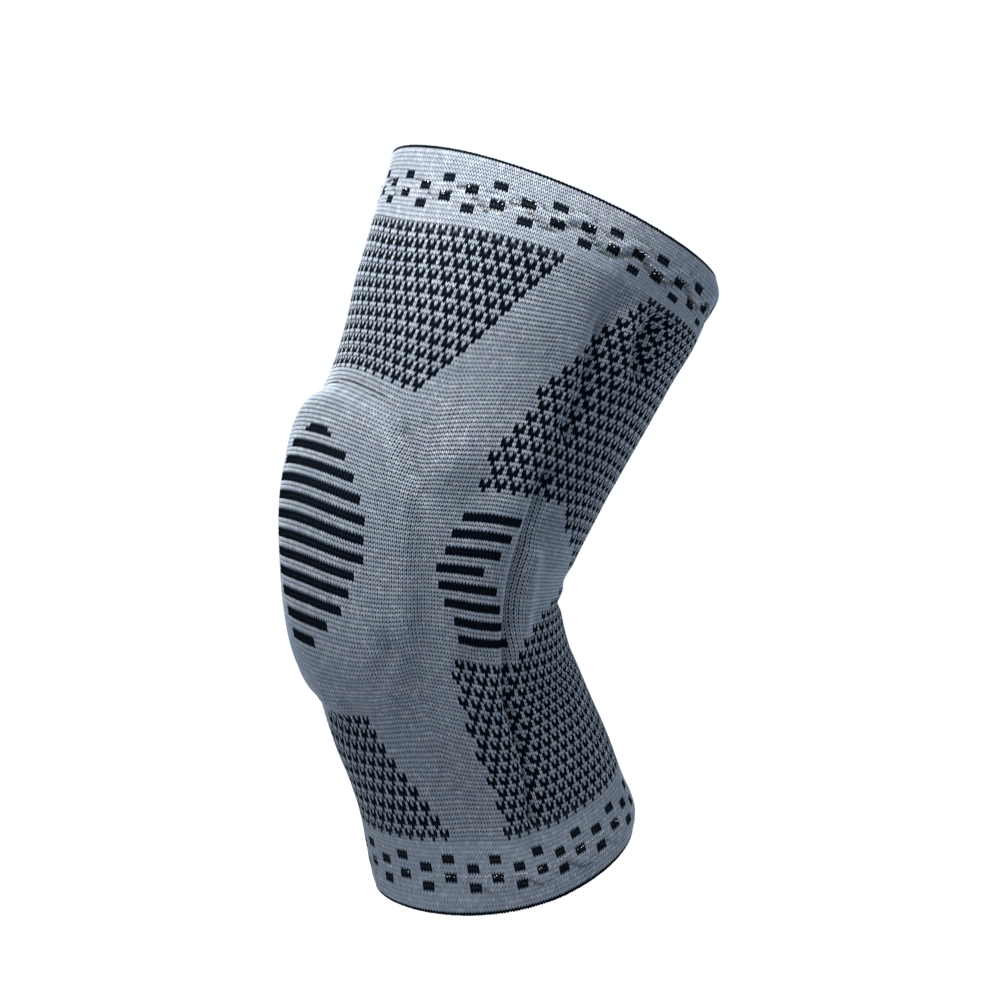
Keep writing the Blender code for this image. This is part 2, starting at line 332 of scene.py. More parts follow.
# %% A point of the worn knit
def hem_lift(along, turn):
    near_thigh = np.clip((along - THIGH_RIM + HEM_REACH) / HEM_REACH, 0.0, None) ** 2
    near_calf = np.clip((CALF_RIM + HEM_REACH - along) / HEM_REACH, 0.0, None) ** 2
    thigh = THIGH_HEM_FRONT_LIFT * np.cos(turn)
    calf = CALF_HEM_FRONT_LIFT * np.cos(turn) - CALF_HEM_SIDE_DROP * np.sin(turn) ** 2
    return near_thigh * thigh + near_calf * calf


def worn_point(along, turn, padded=True, ridged=True):
    """A point of the sleeve's outer face, in millimetres. turn is 0 at the front."""
    front = form_at("front", along)
    back = form_at("back", along)
    lean = np.radians(form_at("lean", along))
    middle_y, middle_z = middle_line(along)
    rise = fold_rise(along, turn) + crease_rise(along, turn)
    if padded:
        rise = rise + pad_rise(along, turn)
    if ridged:
        rise = rise + grip_rise(along, turn)
    reach = (front + back) / 2 + (front - back) / 2 * np.cos(turn) + rise
    out = -reach * np.cos(turn)
    lift = hem_lift(along, turn)
    x = (form_at("side", along) + rise) * np.sin(turn)
    y = middle_y + out * np.cos(lean) + lift * np.sin(lean)
    z = middle_z - out * np.sin(lean) + lift * np.cos(lean)
    return np.stack([x, y, z], axis=-1)


SLOPE_STEP = 0.5
SLOPE_TURN = 0.01


def outward(along, turn, padded=True, ridged=True):
    """The direction straight out of the knit."""
    up = worn_point(along + SLOPE_STEP, turn, padded, ridged)
    up -= worn_point(along - SLOPE_STEP, turn, padded, ridged)
    round_leg = worn_point(along, turn + SLOPE_TURN, padded, ridged)
    round_leg -= worn_point(along, turn - SLOPE_TURN, padded, ridged)
    out = np.cross(round_leg, up)
    return out / np.linalg.norm(out, axis=-1, keepdims=True)


def below_face(along, turn, depth, padded=True, ridged=False):
    """Points at a depth in millimetres under the outer face, in metres."""
    along, turn, depth = np.broadcast_arrays(
        np.asarray(along, float), np.asarray(turn, float), np.asarray(depth, float)
    )
    out = outward(along, turn, padded, ridged)
    return (worn_point(along, turn, padded, ridged) - out * depth[..., None]) * MM


print("the thigh rim in front, in m:", below_face(THIGH_RIM, 0.0, 0.0).round(3).tolist())

# %% [markdown]
# ## Where each stitch lies
#
# Knitting is a grid: wales run along the leg and courses run round it. The machine knits
# 256 wales and 168 courses here. On a bent knee the courses fan out in front, where the
# fabric is stretched, and crowd behind it. Two short tables give each course's place along
# the leg, at the side and at the front, and a third says how the two are mixed round it.

# %% Wales and courses
WALES = 256
COURSES = 168
FIRST_WALE_TURN = -2.2
SIDE_COURSES = (
    (0, 156), (6, 147), (17, 131), (152, -102), (162, -117.5), (168, -128),
)
FRONT_COURSES = (
    (0, 156), (6, 146.5), (17, 131), (26, 112), (41, 75), (50, 59.5), (65, 36.5),
    (87, 9.5), (109, -14), (125, -34), (132, -48), (141, -70), (152, -97),
    (162, -117), (168, -128),
)
FRONT_SHARES = (
    (0, 1), (30, 1), (45, 0.92), (60, 0.58), (75, 0.22), (90, 0), (105, -0.13),
    (120, -0.28), (150, -0.4), (180, -0.4),
)

# How the worn knit strays from that even layout: rows of courses, columns of wales from the
# front, in millimetres along the leg and in degrees round it.
STRAY_WALES = (0, 25, 50, 75, 100, 128)
STRAY_ALONG = (
    (0, 0, 0, 0, 0, 0, 0),
    (8, -1.5, 0.5, 0.5, -0.5, -2.5, -3),
    (12, -2.5, -1, 0, -2, -5, -5.5),
    (17, -2.5, -0.5, 0, -1.5, -4, -5.5),
    (34, 0.5, 2, 1, -1, -3, -4.5),
    (50, 2.5, 1, 0.5, -1, -2, -3),
    (65, 4, 2.5, -0.5, -1.5, -1, -1.5),
    (87, 2.5, 1, 0.5, 0, -0.5, -0.5),
    (109, -2, -2, 1.5, 0.5, 0.5, 0.5),
    (125, -6, -3, 0, 1, 1.5, 1.5),
    (133, -0.5, -0.5, 0.5, 1.5, 2, 2.5),
    (141, 7.5, 4, 1.5, 2, 3, 3),
    (152, 3.5, 2, 0.5, 3, 4, 3),
    (160, -0.5, 0.5, -0.5, 2, 2.5, 2),
    (168, 0, 0, 0, 0, 0, 0),
)
STRAY_ROUND = (
    (0, 0, -3, -3.5, -4.5, -4, 0),
    (17, 0, -1, -1.5, -6.5, -7, 0),
    (34, 0, 0, -2, -7, -7.5, 0),
    (50, 0, -2.5, -2.5, -4.5, -6.5, 0),
    (65, 0, -1.5, -1.5, -3, -5, 0),
    (87, 0, -1, -1.5, -2.5, -4, 0),
    (109, 0, -0.5, -1, -1.5, -2.5, 0),
    (125, 0, 1, 1, 0, -1.5, 0),
    (140, 0, 5, 3, 0.5, 0.5, 0),
    (152, 0, 6.5, 5, 0.5, 3, 0),
    (168, 0, 5.5, 6.5, 5, 5.5, 0),
)
TWIST = ((0, 1.3), (17, 1.3), (34, 0.3), (50, -0.7), (65, -0.2), (140, -0.2), (152, -3.7),
         (168, -6.2))
TILT = ((0, 0), (8, 0.5), (12, 0), (17, -0.5), (34, 1), (50, -1.5), (65, -1), (87, -1.5),
        (109, -2), (125, -2), (133, 0), (141, 2), (152, 1), (160, 0), (168, 0))
TILT_WALES = 25.0
TILT_END = 34.0
print("chart:", WALES, "wales by", COURSES, "courses")


# %% The way from the chart to the leg
def read_pairs(pairs, at):
    places, values = np.array(pairs, float).T
    return smooth_curve(np.asarray(at, float), places, values)


def read_stray(table, wale, course, level_in_front=False):
    """A stray from its table, smooth both ways, at a count of wales from the front."""
    table = np.array(table, float)
    places = np.array(STRAY_WALES, float)
    stray = 0.0
    for number, one in enumerate(np.eye(len(places))):
        if level_in_front:
            share = smooth_curve(wale, np.append(-places[1], places), np.append(one[1], one))
        else:
            share = smooth_curve(wale, places, one)
        stray = stray + share * smooth_curve(course, table[:, 0], table[:, number + 1])
    return stray


def chart_to_leg(wale, course):
    """(along, turn) of a place on the chart, in millimetres and radians."""
    wale, course = np.broadcast_arrays(np.asarray(wale, float), np.asarray(course, float))
    signed = (wale + WALES / 2) % WALES - WALES / 2
    even_turn = FIRST_WALE_TURN + wale * 360.0 / WALES
    degrees, shares = np.array(FRONT_SHARES, float).T
    share = np.interp(np.degrees(angle_from_front(np.radians(even_turn))), degrees, shares)
    side = read_pairs(SIDE_COURSES, course)
    front = read_pairs(FRONT_COURSES, course)
    along = side + (front - side) * share
    along = along + read_stray(STRAY_ALONG, np.abs(signed), course, level_in_front=True)
    tilt = signed / TILT_WALES * np.exp(-((signed / TILT_END) ** 4))
    along = along + read_pairs(TILT, course) * tilt
    turn = wale * 360.0 / WALES + read_pairs(TWIST, course)
    turn = turn + np.sign(signed) * read_stray(STRAY_ROUND, np.abs(signed), course)
    return along, np.radians(turn)


corner, next_wale, next_course = (
    below_face(*chart_to_leg(wale, course), 0.0) / MM
    for wale, course in ((60, 90), (61, 90), (60, 91))
)
print("a stitch at the side of the knee, in mm:", round(math.dist(corner, next_wale), 2), "by",
      round(math.dist(corner, next_course), 2))

# %% [markdown]
# ## The knitting chart
#
# A jacquard chart says which yarn shows at each stitch. The broken check is a small repeat
# of four wales by three courses, shifted by half a repeat in each row, and it fills four
# zones on each side. Whole repeats are kept or left out, so the zones have stepped edges as
# on a real machine knit. Stripes cover the kneecap and the sides of the knee, and rows of
# small rectangles run round the cuffs.

# %% Chart the broken check
CHECK = np.array([[1, 0, 1, 0], [1, 1, 1, 0], [0, 1, 0, 0]], bool)
CHECK_WALES = 4
CHECK_COURSES = 3
THIGH_KNIT_TOP = 17
CALF_KNIT_FOOT = 152


def check_repeats(wale, course, first_course):
    row = (course - first_course) // CHECK_COURSES
    shift = 2 * (row % 2)
    black = CHECK[(course - first_course) % CHECK_COURSES, (wale - shift) % CHECK_WALES]
    middle = (wale - shift) // CHECK_WALES * CHECK_WALES + shift + 1.5
    return black, np.abs(middle), row, first_course + CHECK_COURSES * row + 1


FRONT_THIGH_FOOT = 50
FRONT_THIGH_HALF_WIDTH = 47.5
BACK_THIGH_EDGE = (
    (0, 76.5), (10, 56.5), (11, 58.5), (12, 56.5), (15, 50.5), (16, 52.5), (17, 50.5),
)
BACK_THIGH_FOOT = ((0, 71), (77, 71), (99, 85), (101, 86))
FRONT_CALF_TOP = 125
FRONT_CALF_HALF_WIDTH = 11.5
WALES_A_ROW = 2.0
BACK_CALF_EDGE = 46.5
BACK_CALF_HIGHEST = 92
BACK_CALF_TOP = ((0, 110), (64, 110), (99, 90), (101, 88))


def edge_at(edge, at):
    places, values = np.array(edge, float).T
    return np.interp(at, places, values)


def front_thigh_zone(wale, course):
    black, middle, row, _ = check_repeats(wale, course, THIGH_KNIT_TOP)
    inside = middle < FRONT_THIGH_HALF_WIDTH - WALES_A_ROW * row
    return black & inside & (course >= THIGH_KNIT_TOP) & (course < FRONT_THIGH_FOOT)


def back_thigh_zone(wale, course):
    black, middle, row, place = check_repeats(wale, course, THIGH_KNIT_TOP)
    inside = (middle > edge_at(BACK_THIGH_EDGE, row)) & (course >= THIGH_KNIT_TOP)
    return black & inside & (place < edge_at(BACK_THIGH_FOOT, middle))


def front_calf_zone(wale, course):
    black, middle, row, _ = check_repeats(wale, course, FRONT_CALF_TOP)
    inside = middle < FRONT_CALF_HALF_WIDTH + WALES_A_ROW * row
    return black & inside & (course >= FRONT_CALF_TOP) & (course < CALF_KNIT_FOOT)


def back_calf_zone(wale, course):
    black, middle, _, place = check_repeats(wale, course, BACK_CALF_HIGHEST)
    inside = (middle > BACK_CALF_EDGE) & (place > edge_at(BACK_CALF_TOP, middle))
    return black & inside & (course >= BACK_CALF_HIGHEST) & (course < CALF_KNIT_FOOT)


print("check:", CHECK.astype(int).tolist())

# %% Chart the stripes
STRIPE_REPEAT = 4
KNEECAP_FIRST = 64
KNEECAP_NEAR = (5.5, 13.5, 17.5, 20.5, 22.5, 23.0, 22.5, 19.5, 17.5, 14.5, 9.0, 2.0)
KNEECAP_FAR = (5.5, 13.5, 17.5, 20.5, 22.5, 23.5, 23.5, 21.5, 19.5, 16.5, 13.5, 11.5)
SIDE_FIRST = 76
SIDE_INNER = (48, 46, 45, 43, 44, 45.5, 48.5, 50)
SIDE_OUTER = (64.3, 62.3, 60.3, 56.5, 61.3, 63.8, 66.3, 67.8)


def stripe_rows(course, first, count):
    """The number of each course's stripe, and whether the course is one of its black two."""
    number = np.clip((course - first) // STRIPE_REPEAT, 0, count - 1)
    inside = (course >= first) & (course < first + STRIPE_REPEAT * count)
    return number, inside & ((course - first) % STRIPE_REPEAT < 2)


def kneecap_stripes(wale, course):
    """Twelve stripes that fill an oval over the kneecap; the top one has a step."""
    number, striped = stripe_rows(course, KNEECAP_FIRST, len(KNEECAP_NEAR))
    half = np.where(wale < 0, np.array(KNEECAP_FAR)[number], np.array(KNEECAP_NEAR)[number])
    step = np.where(course == KNEECAP_FIRST, -1.0, 0.0) + (course == KNEECAP_FIRST + 1)
    return striped & (np.abs(wale) < half + step)


def side_stripes(wale, course):
    """Eight stripes on each side of the knee, between two waisted edges."""
    number, striped = stripe_rows(course, SIDE_FIRST, len(SIDE_INNER))
    inner, outer = np.array(SIDE_INNER)[number], np.array(SIDE_OUTER)[number]
    return striped & (np.abs(wale) >= inner) & (np.abs(wale) <= outer)


print("stripes:", len(KNEECAP_NEAR), "in front and", len(SIDE_INNER), "on each side")

# %% Chart the rectangles, and put the chart together
CUFF_REPEAT = 16
CUFF_ROWS = ((6, 11), (8, 3), (10, 11), (12, 3), (155, 9), (157, 1), (159, 9), (161, 1))


def cuff_rectangles(wale, course):
    """Rectangles of four wales by two courses, from each row's first course and middle wale."""
    black = np.zeros(np.broadcast(wale, course).shape, bool)
    for first, middle in CUFF_ROWS:
        place = (wale - middle + CUFF_REPEAT // 2) % CUFF_REPEAT - CUFF_REPEAT // 2
        black |= (course >= first) & (course < first + 2) & (place >= -2) & (place < 2)
    return black


def chart_black():
    """True where the near-black yarn shows, for each wale and course."""
    wale = (np.arange(WALES)[:, None] + WALES // 2) % WALES - WALES // 2
    course = np.arange(COURSES)[None, :]
    black = cuff_rectangles(wale, course) | kneecap_stripes(wale, course)
    black |= side_stripes(wale, course) | front_thigh_zone(wale, course)
    black |= back_thigh_zone(wale, course) | front_calf_zone(wale, course)
    return black | back_calf_zone(wale, course)


BLACK = chart_black()
print("black stitches:", int(BLACK.sum()), "of", BLACK.size)

# %% [markdown]
# ## Yarns and other finishes
#
# A heather yarn is spun from fibres of a few near tints, so no two stitches have quite the
# same colour. Four greys are made, and each stitch gets one of them. The light is scattered
# by loose fibres, which Sheen gives, and a fine noise bump stands for the fibres. Each
# colour sits on the shader's own socket, so it also survives in other programs.

# %% Make the yarns
def new_nodes(tree):
    """A short way to add a node, with its settings and its inputs by number or by name."""

    def add(kind, settings=None, by_number=None, **by_name):
        node = tree.nodes.new(kind)
        for name, value in (settings or {}).items():
            setattr(node, name, value)
        named = {name.replace("_", " "): value for name, value in by_name.items()}
        for key, value in {**(by_number or {}), **named}.items():
            if isinstance(value, bpy.types.NodeSocket):
                tree.links.new(value, node.inputs[key])
            else:
                node.inputs[key].default_value = value
        return node

    return add


def math_node(add, operation, *values):
    return add("ShaderNodeMath", {"operation": operation}, dict(enumerate(values))).outputs[0]


def new_finish(name, color, roughness, **values):
    """A Principled material with plain values on its own sockets."""
    made = bpy.data.materials.new(name)
    made.use_nodes = True
    shader = made.node_tree.nodes["Principled BSDF"]
    shader.inputs["Base Color"].default_value = (*color, 1.0)
    shader.inputs["Roughness"].default_value = roughness
    for socket, value in values.items():
        shader.inputs[socket.replace("_", " ")].default_value = value
    made.diffuse_color = (*color, 1.0)
    return made


def to_shader(finish, output, socket):
    shader = finish.node_tree.nodes["Principled BSDF"]
    finish.node_tree.links.new(output, shader.inputs[socket])


def fibre_bump(finish, scale, strength, depth):
    """A fine noise of loose fibres on a finish's surface."""
    add = new_nodes(finish.node_tree)
    place = add("ShaderNodeTexCoord").outputs["Object"]
    noise = add("ShaderNodeTexNoise", Vector=place, Scale=scale, Detail=3.0).outputs["Fac"]
    bump = add("ShaderNodeBump", Height=noise, Strength=strength, Distance=depth)
    to_shader(finish, bump.outputs["Normal"], "Normal")


GREY_YARNS = (
    ("heather_mid", (0.143, 0.182, 0.236)),
    ("heather_pale", (0.188, 0.226, 0.280)),
    ("heather_blue", (0.119, 0.158, 0.220)),
    ("heather_violet", (0.138, 0.158, 0.222)),
)
yarns = [new_finish("navy_black_yarn", (0.0008, 0.0022, 0.0055), 0.85, Specular_IOR_Level=0.01)]
for name, color in GREY_YARNS:
    yarns.append(new_finish(name, color, 0.7, Specular_IOR_Level=0.22, Sheen_Weight=0.05,
                            Sheen_Roughness=0.5))
for yarn in yarns:
    fibre_bump(yarn, scale=2600.0, strength=0.5, depth=0.00012)
print("yarns:", [yarn.name for yarn in yarns])

# %% [markdown]
# ## The ground of the knit
#
# Behind the visible loops lie the floats and the elastic inlay. From outside they show only
# at the bottom of the pits, in a colour that is partly their own and partly painted shade of
# the pits: it is paler in the close knit of the cuffs, whose pits are shallower. From inside
# they are the smooth back of the fabric, with a low bump for each course. On both sides each
# course has painted shade in its valley and a lighter colour on its bump. All come from the
# fabric's own map, whose first number counts wales and whose second courses.

# %% Finish the two sides of the ground
WALE_SHARE = 0.35


def chart_waves(add):
    """A pattern from 0 to 1 that repeats once for each wale and each course."""
    chart = add("ShaderNodeUVMap", {"uv_map": "chart"}).outputs["UV"]
    split = add("ShaderNodeSeparateXYZ", Vector=chart).outputs
    parts = []
    for axis, count in (("X", WALES), ("Y", COURSES)):
        turns = math_node(add, "MULTIPLY", split[axis], count * math.tau)
        parts.append(math_node(add, "COSINE", turns))
    both = math_node(add, "MULTIPLY_ADD", parts[0], WALE_SHARE, parts[1])
    reach = 1.0 + WALE_SHARE
    ramp = add("ShaderNodeMapRange", Value=both, From_Min=-reach, From_Max=reach)
    return ramp.outputs["Result"]


def ground_with_painted_shade(name, valley_shade, light, roughness):
    """A ground finish with painted shade in each course's valley and a lighter bump."""
    finish = new_finish(name, light, roughness, Specular_IOR_Level=0.08, Sheen_Weight=0.02)
    add = new_nodes(finish.node_tree)
    waves = chart_waves(add)
    place = add("ShaderNodeTexCoord").outputs["Object"]
    noise = add("ShaderNodeTexNoise", Vector=place, Scale=420.0).outputs["Fac"]
    # Painted shade: the colour follows the bump's course wave and is darker in each valley.
    course_shade = add("ShaderNodeMix", {"data_type": "RGBA"}, A=(*valley_shade, 1.0), B=(*light, 1.0),
               Factor=math_node(add, "MULTIPLY", waves, noise))
    to_shader(finish, course_shade.outputs["Result"], "Base Color")
    bump = add("ShaderNodeBump", Height=waves, Strength=0.6, Distance=0.0005)
    to_shader(finish, bump.outputs["Normal"], "Normal")
    return finish


# In the pits the colour is partly the ground's own and partly painted shade: deepest in the knit's
# pits and paler in the shallow pits of the cuffs. The inside of the knit gets painted shade in its
# course valleys too.
pit_ground_and_shade = ground_with_painted_shade("ground_in_the_pits", (0.002, 0.004, 0.008), (0.009, 0.014, 0.023), 0.95)
cuff_pit_ground_and_shade = ground_with_painted_shade("ground_in_the_cuffs", (0.03, 0.04, 0.055), (0.09, 0.115, 0.15), 0.9)
back_with_painted_shade = ground_with_painted_shade("back_of_the_knit", (0.10, 0.12, 0.15), (0.34, 0.39, 0.45), 0.8)
print("ground:", pit_ground_and_shade.name, cuff_pit_ground_and_shade.name, back_with_painted_shade.name)

# %% [markdown]
# ## Silicone, gel and steel
#
# The gel of the ring is soft and a little milky, the side springs are flattened steel coils,
# and the silicone is clear and glossy. A low noise bump keeps each from looking too perfect.

# %% Finish the inner parts
gel_finish = new_finish("milky_gel", (0.60, 0.66, 0.73), 0.38, Subsurface_Weight=0.25,
                        Subsurface_Scale=0.004)
fibre_bump(gel_finish, scale=90.0, strength=0.12, depth=0.0006)
steel_finish = new_finish("spring_steel", (0.56, 0.56, 0.58), 0.3, Metallic=1.0)
fibre_bump(steel_finish, scale=900.0, strength=0.15, depth=0.0001)
silicone_finish = new_finish("clear_silicone", (0.56, 0.61, 0.67), 0.12, Coat_Weight=0.5)
fibre_bump(silicone_finish, scale=300.0, strength=0.2, depth=0.0003)
laid_finishes = [*yarns, silicone_finish]
print("inner finishes:", gel_finish.name, steel_finish.name, silicone_finish.name)

# %% [markdown]
# ## Meshes from a grid
#
# Most pieces of this sleeve are a grid of points wrapped on the leg. One helper turns an
# array of points into a mesh and gives it the chart as its map. A grid that goes all round
# the leg shares the points of its first and last column, so that it has no open seam.

# %% Helpers for meshes
def link_piece(name, mesh):
    piece = bpy.data.objects.new(name, mesh)
    bpy.context.scene.collection.objects.link(piece)
    return piece


def grid_mesh(name, points, chart, closed_round, closed_up=False):
    """A mesh from points[row, column], with chart[row, column] as its map."""
    rows, columns = points.shape[:2]
    shared = points[: rows - closed_up, : columns - closed_round]
    row, place = np.meshgrid(np.arange(rows - 1), np.arange(columns - 1), indexing="ij")
    corner_rows = np.stack([row, row, row + 1, row + 1], axis=-1)
    corner_columns = np.stack([place, place + 1, place + 1, place], axis=-1)
    index = corner_rows % shared.shape[0] * shared.shape[1] + corner_columns % shared.shape[1]
    mesh = bpy.data.meshes.new(name)
    mesh.from_pydata(shared.reshape(-1, 3), [], index.reshape(-1, 4))
    layer = mesh.uv_layers.new(name="chart")
    layer.data.foreach_set("uv", chart[corner_rows, corner_columns].astype("f").ravel())
    mesh.shade_smooth()
    return mesh


def mesh_triangles(mesh):
    mesh.calc_loop_triangles()
    return len(mesh.loop_triangles)


def finished(piece):
    """Turn a piece with modifiers into a plain mesh."""
    depsgraph = bpy.context.evaluated_depsgraph_get()
    plain = bpy.data.meshes.new_from_object(piece.evaluated_get(depsgraph))
    piece.modifiers.clear()
    old = piece.data
    piece.data = plain
    plain.name = piece.name
    bpy.data.meshes.remove(old)
    print(f"{piece.name}: {mesh_triangles(plain)} triangles")
    return piece


# %% [markdown]
# ## The guide
#
# The stitches are laid on a guide: one fine open grid over the whole outer face, a little
# longer than the sleeve. It carries the chart as its map and the outward direction at every
# point, and it is deleted when the stitches are on.

# %% Make the guide
SPARE_COURSES = 2.0


def chart_share(wale, course):
    """A place on the chart as shares of its width and height."""
    up = (np.asarray(course, float) + SPARE_COURSES) / (COURSES + 2 * SPARE_COURSES)
    return np.stack(np.broadcast_arrays(np.asarray(wale, float) / WALES, up), axis=-1)


FLAT_IN_FRONT = 0.5
FLAT_TO = math.radians(18.0)
FULL_FROM = math.radians(52.0)


def standing_out(turn):
    """How far stitches stand out: less in front, where the knit is stretched flat."""
    return 1.0 - FLAT_IN_FRONT * (1.0 - soft_step(FLAT_TO, FULL_FROM, angle_from_front(turn)))


def make_guide(name, flattened):
    wale, course = np.meshgrid(
        np.linspace(0.0, WALES, WALES + 1),
        np.arange(-SPARE_COURSES, COURSES + SPARE_COURSES + 1.0),
    )
    along, turn = chart_to_leg(wale, course)
    points = worn_point(along, turn) * MM
    mesh = grid_mesh(name, points, chart_share(wale, course), closed_round=False)
    out = outward(along, turn)
    if flattened:
        out = out * standing_out(turn)[..., None]
    layer = mesh.attributes.new("outward", "FLOAT_VECTOR", "POINT")
    layer.data.foreach_set("vector", out.astype("f").ravel())
    return link_piece(name, mesh)


guide = make_guide("guide", flattened=True)
rim_guide = make_guide("rim_guide", flattened=False)
print("guide faces:", len(guide.data.polygons))

# %% [markdown]
# ## One stitch
#
# A knit loop shows as two legs that rise side by side from a narrow foot to a wide, rounded
# head. Each leg is a grain with six points and eight faces, sunk at both tips so that it
# seems to dive under its neighbours. Across is counted in wales, up in courses and out in
# millimetres, so the same stitch stretches with the fabric.

# %% Model the stitch
LEG_POINTS = (
    ("foot", 0.07, -0.84, -0.30),
    ("inner_edge", 0.01, 0.08, -0.10),
    ("outer_edge", 0.49, 0.14, -0.19),
    ("head", 0.33, 0.67, -0.18),
    ("low_ridge", 0.19, -0.26, 0.02),
    ("high_ridge", 0.27, 0.31, 0.10),
)
CUFF_LEG_POINTS = (
    ("foot", 0.09, -0.84, -0.08),
    ("inner_edge", 0.0, 0.0, -0.06),
    ("outer_edge", 0.5, 0.04, -0.08),
    ("head", 0.38, 0.74, -0.03),
    ("low_ridge", 0.20, -0.26, 0.02),
    ("high_ridge", 0.28, 0.32, 0.04),
)
LEG_FACES = (
    ("foot", "low_ridge", "inner_edge"),
    ("foot", "outer_edge", "low_ridge"),
    ("inner_edge", "low_ridge", "high_ridge"),
    ("outer_edge", "high_ridge", "low_ridge"),
    ("inner_edge", "high_ridge", "head"),
    ("outer_edge", "head", "high_ridge"),
    ("foot", "inner_edge", "head"),
    ("foot", "head", "outer_edge"),
)


def stitch_mesh(name, leg_points):
    """Both legs of a stitch; the left one is the right one mirrored, with its faces turned."""
    names = [point[0] for point in leg_points]
    places = np.array([point[1:] for point in leg_points])
    points = [place for place in places] + [place * (-1.0, 1.0, 1.0) for place in places]
    faces = []
    for face in LEG_FACES:
        leg = [names.index(name) for name in face]
        faces.append(leg)
        faces.append([index + len(names) for index in reversed(leg)])
    mesh = bpy.data.meshes.new(name)
    mesh.from_pydata(points, [], faces)
    mesh.shade_smooth()
    return link_piece(name, mesh)


stitch = stitch_mesh("stitch", LEG_POINTS)
cuff_stitch = stitch_mesh("cuff_stitch", CUFF_LEG_POINTS)
print("a stitch:", mesh_triangles(stitch.data), "triangles")

# %% [markdown]
# ## The tree that lays things on the sleeve
#
# Geometry Nodes put a copy of an item on each point of the flat chart, with a small random
# turn and size so that no two are alike, and realize the copies. Each point of the flat
# fabric then looks up its place and its outward direction on the guide, by its place on the
# chart, and moves there. The copies are real points by then, so they bend with the leg.

# %% List the tree's inputs
TREE_INPUTS = (
    ("Geometry", "Geometry", None),
    ("Item", "Object", None),
    ("Guide", "Object", None),
    ("Wales", "Float", float(WALES)),
    ("Courses", "Float", float(COURSES)),
    ("Spare Courses", "Float", SPARE_COURSES),
    ("Uneven Turn", "Float", 0.05),
    ("Uneven Size", "Float", 0.07),
    ("Black Size", "Float", 1.0),
    ("Seed", "Int", 11),
    *((finish.name, "Material", None) for finish in laid_finishes),
)
print("tree inputs:", len(TREE_INPUTS))


# %% Build the tree
def named_attribute(add, name, kind):
    return add("GeometryNodeInputNamedAttribute", {"data_type": kind}, Name=name).outputs[0]


def random_number(add, least, most, seed):
    """A random number for each point, from least to most."""
    settings = {"data_type": "FLOAT"}
    return add("FunctionNodeRandomValue", settings, {2: least, 3: most}, Seed=seed).outputs[1]


def uneven_copies(add, given):
    """A copy of the item on each point, a little turned and resized, as real points."""
    most_turn = given["Uneven Turn"]
    turn = random_number(add, math_node(add, "MULTIPLY", most_turn, -1.0), most_turn, given["Seed"])
    smallest = math_node(add, "SUBTRACT", 1.0, given["Uneven Size"])
    largest = math_node(add, "ADD", 1.0, given["Uneven Size"])
    size = random_number(add, smallest, largest, math_node(add, "ADD", given["Seed"], 1.0))
    grey = math_node(add, "MINIMUM", named_attribute(add, "yarn", "INT"), 1.0)
    smaller = math_node(add, "SUBTRACT", 1.0, given["Black Size"])
    fuller = math_node(add, "MULTIPLY_ADD", grey, smaller, given["Black Size"])
    item = add("GeometryNodeObjectInfo", Object=given["Item"]).outputs["Geometry"]
    copies = add("GeometryNodeInstanceOnPoints", Points=given["Geometry"], Instance=item,
                 Rotation=add("ShaderNodeCombineXYZ", Z=turn).outputs[0],
                 Scale=math_node(add, "MULTIPLY", size, fuller))
    return add("GeometryNodeRealizeInstances", Geometry=copies.outputs[0]).outputs[0]


def bent_on_guide(add, given, flat_fabric):
    """The flat fabric, moved to the guide by each point's place on the chart."""
    position = add("GeometryNodeInputPosition").outputs[0]
    flat = add("ShaderNodeSeparateXYZ", Vector=position).outputs
    across = math_node(add, "FRACT", math_node(add, "DIVIDE", flat["X"], given["Wales"]))
    down = math_node(add, "SUBTRACT", given["Spare Courses"], flat["Y"])
    height = math_node(add, "MULTIPLY_ADD", given["Spare Courses"], 2.0, given["Courses"])
    wanted = add("ShaderNodeCombineXYZ", X=across, Y=math_node(add, "DIVIDE", down, height))
    chart = named_attribute(add, "chart", "FLOAT_VECTOR")
    guide = add("GeometryNodeObjectInfo", Object=given["Guide"]).outputs["Geometry"]
    found = []
    for value in (position, named_attribute(add, "outward", "FLOAT_VECTOR")):
        look_up = add("GeometryNodeSampleUVSurface", {"data_type": "FLOAT_VECTOR"}, Mesh=guide,
                      Value=value, UV_Map=chart, Sample_UV=wanted.outputs[0])
        found.append(look_up.outputs["Value"])
    rise = add("ShaderNodeVectorMath", {"operation": "SCALE"}, {0: found[1]},
               Scale=math_node(add, "MULTIPLY", flat["Z"], MM))
    place = add("ShaderNodeVectorMath", {"operation": "ADD"}, {0: found[0], 1: rise.outputs[0]})
    bent = add("GeometryNodeSetPosition", Geometry=flat_fabric, Position=place.outputs[0])
    return bent.outputs[0]


def lay_on_sleeve_tree():
    tree = bpy.data.node_groups.new("lay_on_sleeve", "GeometryNodeTree")
    for name, kind, value in TREE_INPUTS:
        socket = tree.interface.new_socket(name, in_out="INPUT", socket_type=f"NodeSocket{kind}")
        if value is not None:
            socket.default_value = value
    tree.interface.new_socket("Geometry", in_out="OUTPUT", socket_type="NodeSocketGeometry")
    add = new_nodes(tree)
    given = add("NodeGroupInput").outputs
    last = bent_on_guide(add, given, uneven_copies(add, given))
    yarn = named_attribute(add, "yarn", "INT")
    for number, finish in enumerate(laid_finishes):
        same = add("FunctionNodeCompare", {"data_type": "INT", "operation": "EQUAL"},
                   {2: yarn, 3: number})
        last = add("GeometryNodeSetMaterial", Geometry=last, Material=given[finish.name],
                   Selection=same.outputs[0]).outputs[0]
    add("NodeGroupOutput", Geometry=last)
    return tree


lay_on_sleeve = lay_on_sleeve_tree()
print("tree nodes:", len(lay_on_sleeve.nodes))


# %% Lay an item on many places of the chart
def set_inputs(modifier, values):
    """Give a Geometry Nodes modifier its inputs, each by its socket's identifier."""
    sockets = modifier.node_group.interface.items_tree
    identifiers = {socket.name: socket.identifier for socket in sockets}
    for name, value in values.items():
        modifier[identifiers[name]] = value


